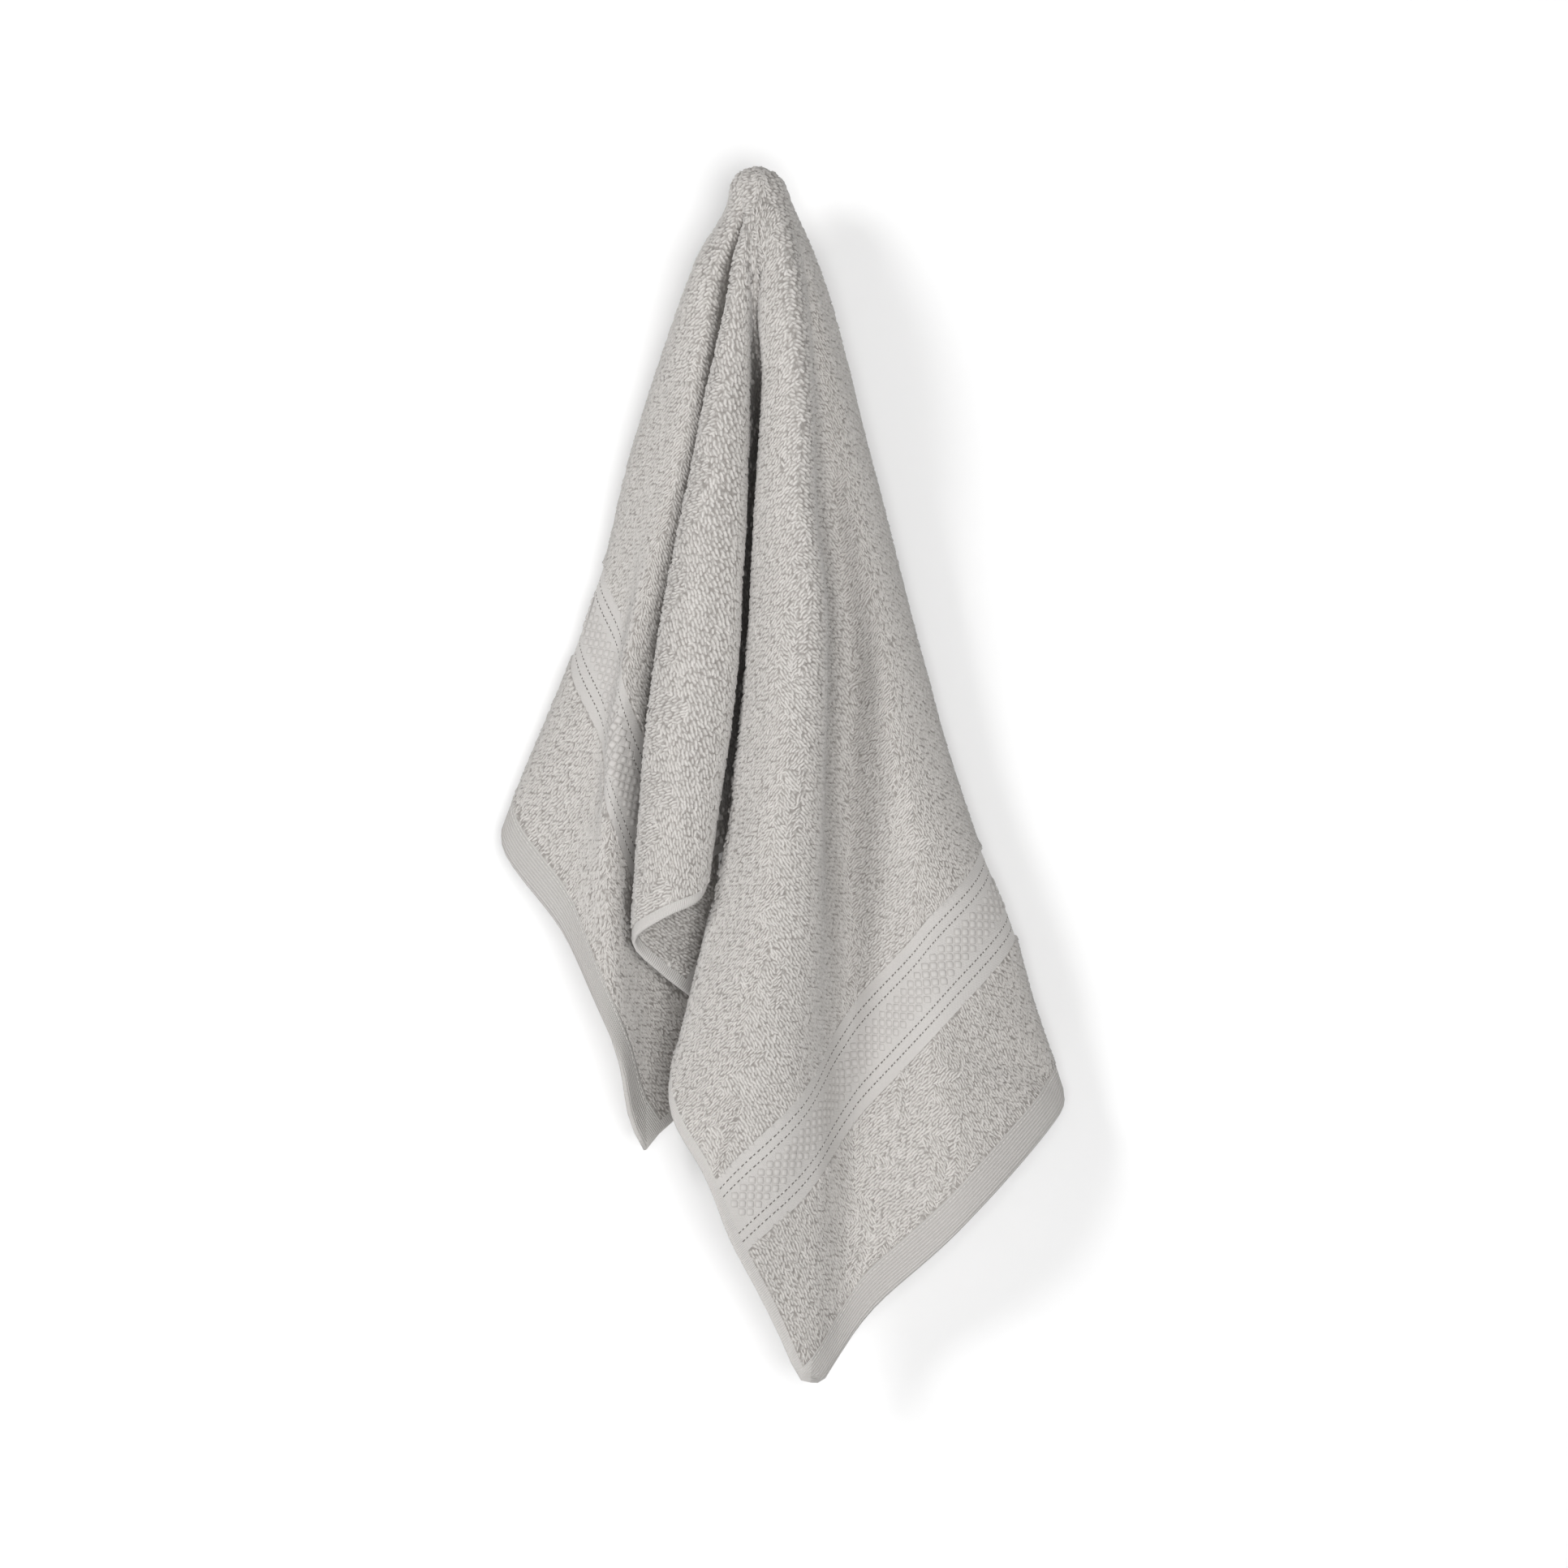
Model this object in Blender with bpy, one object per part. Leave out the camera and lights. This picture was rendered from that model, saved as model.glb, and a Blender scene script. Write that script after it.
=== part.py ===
# Hand towel hung by one point: a single woven cloth, gathered at the crown and falling in folds.
# The folds are written down once, in FOLDS. Each row is a line drawn on the flat cloth straight out
# from the point where it hangs, and says where that line runs, seen from above, at four levels.
import math

import bmesh
import bpy
import numpy as np

MM = 0.001

# flat cloth, measured from the point it hangs by
TO_SIDE_SHOWN = 295 * MM
TO_SIDE_BEHIND = 105 * MM
TO_END_RIGHT = 393 * MM
TO_END_LEFT = 267 * MM
HEM_WIDTH = 14 * MM
SELVEDGE_WIDTH = 5 * MM
BIAS_GIVE = 0.045               # how much further the cloth reaches on the diagonal

# directions of the four corners on the flat cloth, in degrees (see FOLDS)
LOWEST_CORNER = math.degrees(math.atan2(TO_END_RIGHT, TO_SIDE_SHOWN))
LEFT_CORNER = math.degrees(math.atan2(-TO_END_LEFT, TO_SIDE_SHOWN))
RIGHT_BACK_CORNER = math.degrees(math.atan2(TO_END_RIGHT, -TO_SIDE_BEHIND))
LEFT_BACK_CORNER = math.degrees(math.atan2(-TO_END_LEFT, -TO_SIDE_BEHIND))

# thickness of the solid cloth
PILE_THICK = 2.4 * MM
HEM_THICK = 3.0 * MM
SELVEDGE_THICK = 2.0 * MM

# levels at which the folds are given, as lengths of cloth from the hanging point
CAP_RADIUS = 12 * MM
CAP_LENGTH = 16 * MM
NECK_LENGTH = 45 * MM
SHOULDER_SHARE = 0.25           # share of the way from the neck to the edge
WAIST_SHARE = 0.60
LEAST_FALL = 0.05               # steepness kept where a fold leans out the most

# mesh fineness
RAYS_PER_FOLD = 3
CAP_RINGS = (6 * MM, 11 * MM, 16 * MM, 23 * MM, 30 * MM, 38 * MM)
BODY_RINGS = 16
PROFILE_STEPS = 200

# name, direction on the flat cloth in degrees (0 towards the shown side, + towards the right end),
# bearing on the crown in degrees (0 in front, + to the right), then x and y in mm at each level;
# the wall is on the +y side
FOLDS = (
    # name                along              bearing  neck           shoulder       waist         edge
    ("back centre",        -180.0,           -180,    (0, 23),       (0, 25),       (0, 28),      (0, 31)),
    ("back left pleat",    -158.0,           -171,    (-4.5, 24),    (-5, 29),      (-5, 33),     (-5, 37)),
    ("back left dip",      -138.0,           -163,    (-8, 23.3),    (-9, 27),      (-8, 31),     (-6, 36)),
    ("left back edge",     -119.0,           -156,    (-10.8, 22.7), (-13, 28.5),   (-13, 33),    (-11, 38)),
    ("left back corner",   LEFT_BACK_CORNER, -149,    (-13, 22),     (-18, 28.5),   (-22, 37),    (-27, 41)),
    ("left inner dip",     -101.0,           -142,    (-16, 19.5),   (-23, 22),     (-33, 26),    (-42, 27)),
    ("left pleat",         -91.0,            -134,    (-18.5, 18.5), (-29, 29),     (-42, 39),    (-53, 41)),
    ("left outer dip",     -82.0,            -126,    (-20.5, 16),   (-34, 20),     (-49, 16),    (-68, 13)),
    ("left turn",          -74.0,            -117,    (-22.3, 13),   (-41, 25),     (-60, 38),    (-87, 41)),
    ("left outline",       -66.0,            -104,    (-23, 7),      (-44, 19),     (-69, 27),    (-103, 33)),
    ("left face",          -56.0,             -88,    (-22, -2),     (-38, 6),      (-60, 8),     (-77, 10)),
    ("left crest",         -48.0,             -66,    (-16.5, -7),   (-31, -0.5),   (-57, 0),     (-58, 0)),
    ("left corner",        LEFT_CORNER,       -54,    (-12.5, -4),   (-24, 5),      (-46, 12),    (-43.5, 15)),
    ("hidden dip",         -36.0,             -47,    (-8, 0),       (-12, 16),     (-20, 26),    (-26, 33)),
    ("hidden turn",        -31.5,             -41,    (-5, -3),      (-8, 11),      (-14.6, 18.5),(-22.2, 25)),
    ("return",             -27.5,             -35,    (-7.2, -10.2), (-13.5, -1),   (-27, 1),     (-37, 7)),
    ("middle left roll",   -23.5,             -29,    (-8.5, -15.5), (-22.5, -12.5),(-41, -10),   (-50.5, -8)),
    ("middle face",        -19.0,             -17,    (-6, -19.2),   (-15.5, -22),  (-27, -24),   (-37, -22)),
    ("middle right roll",  -15.0,              -8,    (-4, -19.4),   (-6, -19),     (-9.5, -19),  (-23, -19)),
    ("gap left wall",      -2.0,               -2,    (-2.2, -18.2), (-3, -1),      (-10.4, 5),   (-20.3, 5)),
    ("gap bottom",         11.0,                6,    (1.0, -17.2),  (2, 15),       (0.5, 34),    (-5, 38)),
    ("gap right wall",     24.0,               14,    (4.2, -18.2),  (6.5, 0),      (5, 10),      (3, 12)),
    ("front left roll",    37.0,               22,    (6, -19.8),    (2, -18),      (-6.5, -13),  (-33, -6)),
    ("front face",         44.0,               35,    (9.5, -20.8),  (10, -26.5),   (7, -28),     (-17, -19)),
    ("front crest",        49.2,               46,    (14, -19.6),   (20.5, -25),   (22.5, -21),  (3, -9)),
    ("crest side",         51.0,               51,    (15.8, -17),   (23, -19.5),   (25.5, -14),  (12, -4)),
    ("lowest corner",      LOWEST_CORNER,      57,    (17, -14),     (25.5, -12),   (28, -5),     (23, -1)),
    ("right dip",          56.5,               66,    (18.3, -10),   (31.5, -1),    (37, 12),     (40, 8)),
    ("right face",         65.0,               81,    (20.5, -5),    (41.5, 0),     (62, 2),      (83.5, -4)),
    ("right outline",      76.0,               99,    (23, 6),       (47, 13.5),    (80, 22),     (127.5, 24)),
    ("right turn",         81.0,              114,    (21.7, 12.5),  (44, 24.5),    (72.5, 35),   (109, 40)),
    ("right outer dip",    87.0,              123,    (20, 15.8),    (37.5, 18),    (60, 12),     (86, 8)),
    ("right pleat",        93.0,              132,    (18.5, 18.5),  (32, 30),      (53, 40),     (68, 41)),
    ("right inner dip",    99.0,              140,    (16, 19.5),    (26, 21),      (42, 18),     (54, 13)),
    ("right back corner",  RIGHT_BACK_CORNER, 148,     (13, 22),      (20, 30),      (30, 38),     (38, 41)),
    ("right back edge",    110.0,             154,    (11.5, 22.6),  (15.5, 28.5),  (23, 35),     (29, 36)),
    ("right back strip",   120.0,             160,    (10, 23),      (12, 27),      (16, 31),     (19, 32)),
    ("back right dip",     138.0,             166,    (8, 23.3),     (9, 27),       (9, 30),      (9, 33)),
    ("back right pleat",   158.0,             172,    (4.5, 24),     (5, 29),       (5, 33),      (5, 37)),
    ("back centre",        180.0,             180,    (0, 23),       (0, 25),       (0, 28),      (0, 31)),
)

LEVEL_WEIGHT = (0.9, 0.5, 0.4, 0.25)   # how much each level counts in spacing the folds
SPACING_POWER = 0.8

# dyed cotton, as (red, green, blue) in linear light
TOWEL_COLOUR = (0.545, 0.525, 0.50)
TOWEL_ROUGHNESS = 0.95


def slopes(at, value):
    """Slope of a smooth curve through the given values at unevenly spaced places."""
    step = np.diff(at)
    rise = np.diff(value, axis=0) / step.reshape((-1,) + (1,) * (value.ndim - 1))
    first, last = rise[:1], rise[-1:]
    before, after = step[:-1], step[1:]
    shape = (-1,) + (1,) * (value.ndim - 1)
    inner = (rise[:-1] * after.reshape(shape) + rise[1:] * before.reshape(shape)) \
        / (before + after).reshape(shape)
    return np.concatenate([first, inner, last])


def blend(t, start, end, start_slope, end_slope):
    """Cubic from start to end as t goes from 0 to 1, slopes given per unit of t."""
    rest = 1 - t
    return ((1 + 2 * t) * rest ** 2 * start + t * rest ** 2 * start_slope
            + t ** 2 * (3 - 2 * t) * end - t ** 2 * rest * end_slope)


def curve(at, value, slope, where):
    """Values of the curve at other places."""
    i = np.clip(np.searchsorted(at, where, side="right") - 1, 0, len(at) - 2)
    shape = (-1,) + (1,) * (value.ndim - 1)
    span = (at[i + 1] - at[i]).reshape(shape)
    t = (where - at[i]).reshape(shape) / span
    return blend(t, value[i], value[i + 1], slope[i] * span, slope[i + 1] * span)


def steady_slopes(at, value):
    """Slopes that never let a rising curve dip back."""
    rise = np.diff(value) / np.diff(at)
    inner = 2 * rise[:-1] * rise[1:] / (rise[:-1] + rise[1:])
    ends = 2 * rise[0] * rise[-1] / (rise[0] + rise[-1])
    return np.concatenate([[ends], inner, [ends]])


def reach(along, inset_side, inset_end):
    """Length of cloth from the hanging point to its edge, less a border, in each direction."""
    across, down = np.cos(along), np.sin(along)
    side = np.where(across > 0, TO_SIDE_SHOWN, TO_SIDE_BEHIND) - inset_side
    end = np.where(down > 0, TO_END_RIGHT, TO_END_LEFT) - inset_end
    tiny = 1e-9
    return np.minimum(side / np.maximum(abs(across), tiny), end / np.maximum(abs(down), tiny))


def fold_lines(along):
    """Plan positions at the four levels, and crown bearings, for any directions."""
    known = np.radians([row[1] for row in FOLDS])
    bearing = np.radians([row[2] for row in FOLDS])
    plan = np.array([row[3:7] for row in FOLDS], float) * MM
    gap = np.linalg.norm(np.diff(plan, axis=0), axis=2) / MM
    spacing = np.concatenate([[0], np.cumsum((gap @ np.array(LEVEL_WEIGHT)) ** SPACING_POWER)])
    place = curve(known, spacing, steady_slopes(known, spacing), along)
    return curve(spacing, plan, slopes(spacing, plan), place), np.interp(along, known, bearing)


def hang(along, lengths):
    """Points of the hung cloth: one row per direction, one column per length of cloth."""
    plan, bearing = fold_lines(along)
    edge = reach(along, 0, 0)
    outward = np.stack([np.sin(bearing), -np.cos(bearing)], axis=1)
    past_neck = edge - NECK_LENGTH
    level = np.stack([np.full_like(edge, CAP_LENGTH), np.full_like(edge, NECK_LENGTH),
                      NECK_LENGTH + SHOULDER_SHARE * past_neck,
                      NECK_LENGTH + WAIST_SHARE * past_neck, edge], axis=1)
    cap_turn = CAP_LENGTH / CAP_RADIUS
    cap_rim = (outward * CAP_RADIUS * math.sin(cap_turn))[:, None]
    stop = np.concatenate([cap_rim, plan], axis=1)
    span = np.diff(level, axis=1)[..., None]
    rise = np.diff(stop, axis=1) / span
    slope = np.empty_like(stop)
    slope[:, 0] = (outward * math.cos(cap_turn) + rise[:, 0]) / 2
    slope[:, 1:-1] = (rise[:, :-1] * span[:, 1:] + rise[:, 1:] * span[:, :-1]) \
        / (span[:, :-1] + span[:, 1:])
    slope[:, -1] = 1.5 * rise[:, -1] - 0.5 * slope[:, -2]

    run = edge[:, None] * np.linspace(0, 1, PROFILE_STEPS + 1)
    past_cap = np.maximum(run, CAP_LENGTH)
    i = np.clip((past_cap[..., None] >= level[:, None, :]).sum(axis=2) - 1, 0, 3)
    ray = np.arange(len(along))[:, None]
    width = span[ray, i]
    t = ((past_cap - level[ray, i]))[..., None] / width
    flat = blend(t, stop[ray, i], stop[ray, i + 1], slope[ray, i] * width, slope[ray, i + 1] * width)
    in_cap = (run < CAP_LENGTH)[..., None]
    turn = np.sin(np.minimum(run, CAP_LENGTH) / CAP_RADIUS)[..., None]
    flat = np.where(in_cap, outward[:, None] * CAP_RADIUS * turn, flat)

    past = np.clip((run - CAP_LENGTH) / NECK_LENGTH, 0, 1)
    give = 1 + BIAS_GIVE * (np.sin(2 * along) ** 2)[:, None] * past
    step = (edge / PROFILE_STEPS)[:, None] * give
    lean = np.gradient(flat, axis=1) / step[..., None]
    fall = np.sqrt(np.maximum(1 - (lean ** 2).sum(axis=2), LEAST_FALL ** 2)) * step
    drop = np.concatenate([np.zeros((len(along), 1)),
                           np.cumsum((fall[:, 1:] + fall[:, :-1]) / 2, axis=1)], axis=1)
    profile = np.concatenate([flat, -drop[..., None]], axis=2)

    share = lengths / edge[:, None] * PROFILE_STEPS
    low = np.clip(share.astype(int), 0, PROFILE_STEPS - 1)
    part = (share - low)[..., None]
    return profile[ray, low] * (1 - part) + profile[ray, low + 1] * part


def sheet_normals(points, apex):
    """Outward direction of the cloth at every point, the crown's own included."""
    around = np.roll(points, -1, axis=0) - np.roll(points, 1, axis=0)
    inner = np.concatenate([np.broadcast_to(apex, points[:, :1].shape), points[:, :-1]], axis=1)
    outer = np.concatenate([points[:, 1:], points[:, -1:]], axis=1)
    normal = np.cross(outer - inner, around)
    return normal / np.linalg.norm(normal, axis=2, keepdims=True)


def cloth_grid():
    """Directions, and lengths of cloth out to each ring: the last two are border line and edge."""
    known = np.radians([row[1] for row in FOLDS])
    share = np.arange(RAYS_PER_FOLD) / RAYS_PER_FOLD
    along = (known[:-1, None] + np.diff(known)[:, None] * share).ravel()
    border = reach(along, SELVEDGE_WIDTH, HEM_WIDTH)
    edge = reach(along, 0, 0)
    cap = np.broadcast_to(CAP_RINGS, (len(along), len(CAP_RINGS)))
    even = np.linspace(0, 1, BODY_RINGS + 1)
    body = NECK_LENGTH + (border - NECK_LENGTH)[:, None] * even
    return along, np.concatenate([cap, body, edge[:, None]], axis=1)


def towel_mesh():
    """Closed mesh of the cloth: the mid surface set off by half its thickness to each side."""
    along, lengths = cloth_grid()
    points = hang(along, lengths)
    apex = np.zeros(3)
    normal = sheet_normals(points, apex)
    on_hem = reach(along, 0, HEM_WIDTH) < reach(along, SELVEDGE_WIDTH, 0)
    half = np.full(lengths.shape, PILE_THICK / 2)
    half[:, -1] = np.where(on_hem, HEM_THICK, SELVEDGE_THICK) / 2
    offset = normal * half[..., None]
    lift = np.array([0, 0, PILE_THICK / 2])

    bm = bmesh.new()
    layers = []
    for side in (1, -1):
        top = bm.verts.new(apex + lift + side * np.array([0, 0, PILE_THICK / 2]))
        rows = [[bm.verts.new(p) for p in row] for row in points + lift + side * offset]
        layers.append((top, rows))
    count, rings = lengths.shape
    for (top, rows), outside in zip(layers, (True, False)):
        for k in range(count):
            here, there = rows[k], rows[(k + 1) % count]
            fans = [(top, here[0], there[0])]
            fans += [(here[j], here[j + 1], there[j + 1], there[j]) for j in range(rings - 1)]
            for face in fans:
                bm.faces.new(face if outside else face[::-1])
    outer, inner = layers[0][1], layers[1][1]
    for k in range(count):
        n = (k + 1) % count
        bm.faces.new((outer[k][-1], inner[k][-1], inner[n][-1], outer[n][-1]))
    bmesh.ops.triangulate(bm, faces=bm.faces[:], quad_method="SHORT_EDGE")
    bmesh.ops.recalc_face_normals(bm, faces=bm.faces[:])
    mesh = bpy.data.meshes.new("towel")
    bm.to_mesh(mesh)
    bm.free()
    return mesh


def cotton():
    material = bpy.data.materials.new("cotton terry")
    material.use_nodes = True
    shader = material.node_tree.nodes["Principled BSDF"]
    shader.inputs["Base Color"].default_value = (*TOWEL_COLOUR, 1)
    shader.inputs["Roughness"].default_value = TOWEL_ROUGHNESS
    shader.inputs["Metallic"].default_value = 0
    return material


for old in list(bpy.data.objects):
    bpy.data.objects.remove(old, do_unlink=True)

towel = bpy.data.objects.new("towel", towel_mesh())
towel.data.materials.append(cotton())
bpy.context.scene.collection.objects.link(towel)
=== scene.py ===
import math

import bmesh
import bpy
import numpy as np
from mathutils import Matrix, Vector, noise
from mathutils.bvhtree import BVHTree


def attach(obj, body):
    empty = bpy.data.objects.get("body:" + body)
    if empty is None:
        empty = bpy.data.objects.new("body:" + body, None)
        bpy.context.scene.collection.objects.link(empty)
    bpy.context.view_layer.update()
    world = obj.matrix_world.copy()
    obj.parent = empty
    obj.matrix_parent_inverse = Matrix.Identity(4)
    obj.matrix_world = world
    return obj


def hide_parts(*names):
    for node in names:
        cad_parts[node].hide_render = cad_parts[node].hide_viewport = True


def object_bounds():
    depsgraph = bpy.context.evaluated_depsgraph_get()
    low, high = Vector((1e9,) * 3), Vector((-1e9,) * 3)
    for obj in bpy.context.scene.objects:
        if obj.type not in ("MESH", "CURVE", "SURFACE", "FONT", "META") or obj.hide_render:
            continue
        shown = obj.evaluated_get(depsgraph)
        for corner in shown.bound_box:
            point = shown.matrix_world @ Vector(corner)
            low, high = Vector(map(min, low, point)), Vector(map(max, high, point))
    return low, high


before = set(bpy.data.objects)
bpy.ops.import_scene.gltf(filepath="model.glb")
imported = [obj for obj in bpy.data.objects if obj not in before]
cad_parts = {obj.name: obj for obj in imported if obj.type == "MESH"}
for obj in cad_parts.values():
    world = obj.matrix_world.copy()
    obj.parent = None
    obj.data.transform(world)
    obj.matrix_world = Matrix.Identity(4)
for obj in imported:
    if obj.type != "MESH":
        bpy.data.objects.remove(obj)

mm = 0.001
tiny = 1e-12                                       # keeps a division off zero
cadLow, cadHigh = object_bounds()

# the hung cloth
cloth = dict(
    toSideShown=295 * mm, toSideBehind=105 * mm,   # from the hanging point to the side edges
    toEndRight=393 * mm, toEndLeft=267 * mm,       # and to the hemmed ends
    hem=14 * mm, selvedge=4.5 * mm,
    bandFromEnd=67 * mm, bandWidth=39 * mm,
    biasGive=0.045,                                # how much further it reaches on the diagonal
    capRadius=12 * mm, capLength=16 * mm, neckLength=45 * mm,
    shoulderShare=0.25, waistShare=0.60, leastFall=0.05,
    profileSteps=240,
    rayPitch=6.0 * mm,                             # spacing of the mesh along the outer edge
    capRings=7, neckRings=10, bodyRings=56, bandRings=8, endRings=11, hemRings=6,
    groundThick=1.5 * mm, bandThick=1.7 * mm, hemThick=3.0 * mm, selvedgeThick=1.9 * mm,
    waviness=0.7 * mm, wavePitch=38 * mm, waveFrom=30 * mm, waveFade=120 * mm,
    creaseFade=0.35, creaseLead=0.3,               # share of a crease over which its ends fade
    levelWeight=(0.9, 0.5, 0.4, 0.25),             # how much each level counts in spacing the folds
    spacingPower=0.8,
    edgeRound=1.2 * mm, edgeLeast=0.25,            # edges thin over this width, to the root of this
    weld=2e-6, sameAngle=1e-5, slack=mm / 9,       # how near counts as the same place
    leastArea=1e-10,                               # twice a triangle's area, below which it isn't read
)

# directions of the corners on the flat cloth, in degrees
leftFront, rightFront, leftBack, rightBack = (
    math.degrees(math.atan2(end, side))
    for side in (cloth["toSideShown"], -cloth["toSideBehind"])
    for end in (-cloth["toEndLeft"], cloth["toEndRight"]))

# lines of cloth out from the hanging point. Along is the direction on the flat cloth in degrees, 0
# towards the side shown and + towards the right end; turn is its place round the crown, 0 in
# front and + to the right. Then x and y in mm at four levels down the line.
folds = [
    # name                along       turn  neck           shoulder        waist          edge
    ("back centre",       -180,       -180, (0, 23),       (0, 25),        (0, 28),       (0, 31)),
    ("back left pleat",   -158,       -171, (-4.5, 24),    (-5, 29),       (-5, 33),      (-5, 37)),
    ("back left dip",     -138,       -163, (-8, 23.3),    (-9, 27),       (-8, 31),      (-6, 36)),
    ("left back edge",    -119,       -156, (-10.8, 22.7), (-13, 28.5),    (-13, 33),     (-11, 38)),
    ("left back corner",  leftBack,   -149, (-13, 22),     (-18, 28.5),    (-22, 37),     (-27, 41)),
    ("left inner dip",    -101,       -142, (-16, 19.5),   (-23, 22),      (-33, 26),     (-42, 27)),
    ("left pleat",        -91,        -134, (-18.5, 18.5), (-29, 29),      (-42, 39),     (-53, 41)),
    ("left outer dip",    -82,        -126, (-20.5, 16),   (-34, 20),      (-49, 16),     (-68, 13)),
    ("left turn",         -74,        -117, (-22.3, 13),   (-41, 25),      (-60, 38),     (-87, 41)),
    ("left outline",      -66,        -104, (-23, 7),      (-44, 19),      (-69, 27),     (-103, 33)),
    ("left face",         -56,        -88,  (-22, -2),     (-38, 6),       (-60, 8),      (-77, 10)),
    ("left crest",        -48,        -66,  (-16.5, -7),   (-31, -0.5),    (-57, 0),      (-58, 0)),
    ("left corner",       leftFront,  -54,  (-12.5, -4),   (-24, 5),       (-46, 12),     (-43.5, 15)),
    ("hidden dip",        -36,        -47,  (-8, 0),       (-12, 16),      (-20, 26),     (-26, 33)),
    ("hidden turn",       -31.5,      -41,  (-5, -3),      (-8, 11),       (-14.6, 18.5), (-22.2, 25)),
    ("return",            -27.5,      -35,  (-7.2, -10.2), (-13.5, -1),    (-27, 1),      (-37, 7)),
    ("middle left roll",  -23.5,      -29,  (-8.5, -15.5), (-22.5, -12.5), (-41, -10),    (-50.5, -8)),
    ("middle face",       -19,        -17,  (-6, -19.2),   (-15.5, -22),   (-27, -24),    (-37, -22)),
    ("middle right roll", -15,        -8,   (-4, -19.4),   (-6, -19),      (-9.5, -19),   (-23, -19)),
    ("gap left wall",     -2,         -2,   (-2.2, -18.2), (-3, -1),       (-10.4, 5),    (-20.3, 5)),
    ("gap bottom",        11,         6,    (1.0, -17.2),  (2, 15),        (0.5, 34),     (-5, 38)),
    ("gap right wall",    24,         14,   (4.2, -18.2),  (6.5, 0),       (5, 10),       (3, 12)),
    ("front left roll",   37,         22,   (6, -19.8),    (2, -18),       (-6.5, -13),   (-33, -6)),
    ("front face",        44,         35,   (9.5, -20.8),  (10, -26.5),    (7, -28),      (-17, -19)),
    ("front crest",       49.2,       46,   (14, -19.6),   (20.5, -25),    (22.5, -21),   (3, -9)),
    ("crest side",        51,         51,   (15.8, -17),   (23, -19.5),    (25.5, -14),   (12, -4)),
    ("lowest corner",     rightFront, 57,   (17, -14),     (25.5, -12),    (28, -5),      (23, -1)),
    ("right dip",         56.5,       66,   (18.3, -10),   (31.5, -1),     (37, 12),      (40, 8)),
    ("right face",        65,         81,   (20.5, -5),    (41.5, 0),      (62, 2),       (83.5, -4)),
    ("right outline",     76,         99,   (23, 6),       (47, 13.5),     (80, 22),      (127.5, 24)),
    ("right turn",        81,         114,  (21.7, 12.5),  (44, 24.5),     (72.5, 35),    (109, 40)),
    ("right outer dip",   87,         123,  (20, 15.8),    (37.5, 18),     (60, 12),      (86, 8)),
    ("right pleat",       93,         132,  (18.5, 18.5),  (32, 30),       (53, 40),      (68, 41)),
    ("right inner dip",   99,         140,  (16, 19.5),    (26, 21),       (42, 18),      (54, 13)),
    ("right back corner", rightBack,  148,  (13, 22),      (20, 30),       (30, 38),      (38, 41)),
    ("right back edge",   110,        154,  (11.5, 22.6),  (15.5, 28.5),   (23, 35),      (29, 36)),
    ("right back strip",  120,        160,  (10, 23),      (12, 27),       (16, 31),      (19, 32)),
    ("back right dip",    138,        166,  (8, 23.3),     (9, 27),        (9, 30),       (9, 33)),
    ("back right pleat",  158,        172,  (4.5, 24),     (5, 29),        (5, 33),       (5, 37)),
    ("back centre",       180,        180,  (0, 23),       (0, 25),        (0, 28),       (0, 31)),
]


def perStep(step, value):
    return step.reshape((-1,) + (1,) * (value.ndim - 1))


def slopes(at, value):
    # slope of a smooth curve through values at unevenly spaced places
    step = np.diff(at)
    rise = np.diff(value, axis=0) / perStep(step, value)
    before, after = perStep(step[:-1], value), perStep(step[1:], value)
    inner = (rise[:-1] * after + rise[1:] * before) / (before + after)
    return np.concatenate([rise[:1], inner, rise[-1:]])


def steadySlopes(at, value):
    # slopes that never let a rising curve dip back
    rise = np.diff(value) / np.diff(at)
    inner = 2 * rise[:-1] * rise[1:] / (rise[:-1] + rise[1:])
    ends = 2 * rise[0] * rise[-1] / (rise[0] + rise[-1])
    return np.concatenate([[ends], inner, [ends]])


def blend(t, start, end, startSlope, endSlope):
    rest = 1 - t
    return ((1 + 2 * t) * rest ** 2 * start + t * rest ** 2 * startSlope
            + t ** 2 * (3 - 2 * t) * end - t ** 2 * rest * endSlope)


def curve(at, value, slope, where):
    i = np.clip(np.searchsorted(at, where, side="right") - 1, 0, len(at) - 2)
    span = perStep(at[i + 1] - at[i], value)
    t = perStep(where - at[i], value) / span
    return blend(t, value[i], value[i + 1], slope[i] * span, slope[i + 1] * span)


def toSide(way):
    # cloth from the hanging point to the side edge shown, or to the one behind where the way is below 0
    return np.where(way > 0, cloth["toSideShown"], cloth["toSideBehind"])


def toEnd(way):
    # and to the right end, or to the left one
    return np.where(way > 0, cloth["toEndRight"], cloth["toEndLeft"])


def betweenSelvedges():
    return cloth["selvedge"] - cloth["toSideBehind"], cloth["toSideShown"] - cloth["selvedge"]


def reach(along, insetSide=0.0, insetEnd=0.0):
    # length of cloth from the hanging point to its edge, less a border, in each direction
    across, down = np.cos(along), np.sin(along)
    side, end = toSide(across) - insetSide, toEnd(down) - insetEnd
    return np.minimum(side / np.maximum(abs(across), tiny), end / np.maximum(abs(down), tiny))


def foldLines(along):
    # plan positions at the four levels, and crown bearings, for any directions
    known = np.radians([row[1] for row in folds])
    bearing = np.radians([row[2] for row in folds])
    plan = np.array([row[3:7] for row in folds], float) * mm
    gap = np.linalg.norm(np.diff(plan, axis=0), axis=2) / mm
    spread = (gap @ np.array(cloth["levelWeight"])) ** cloth["spacingPower"]
    spacing = np.concatenate([[0], np.cumsum(spread)])
    place = curve(known, spacing, steadySlopes(known, spacing), along)
    return curve(spacing, plan, slopes(spacing, plan), place), np.interp(along, known, bearing)


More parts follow.
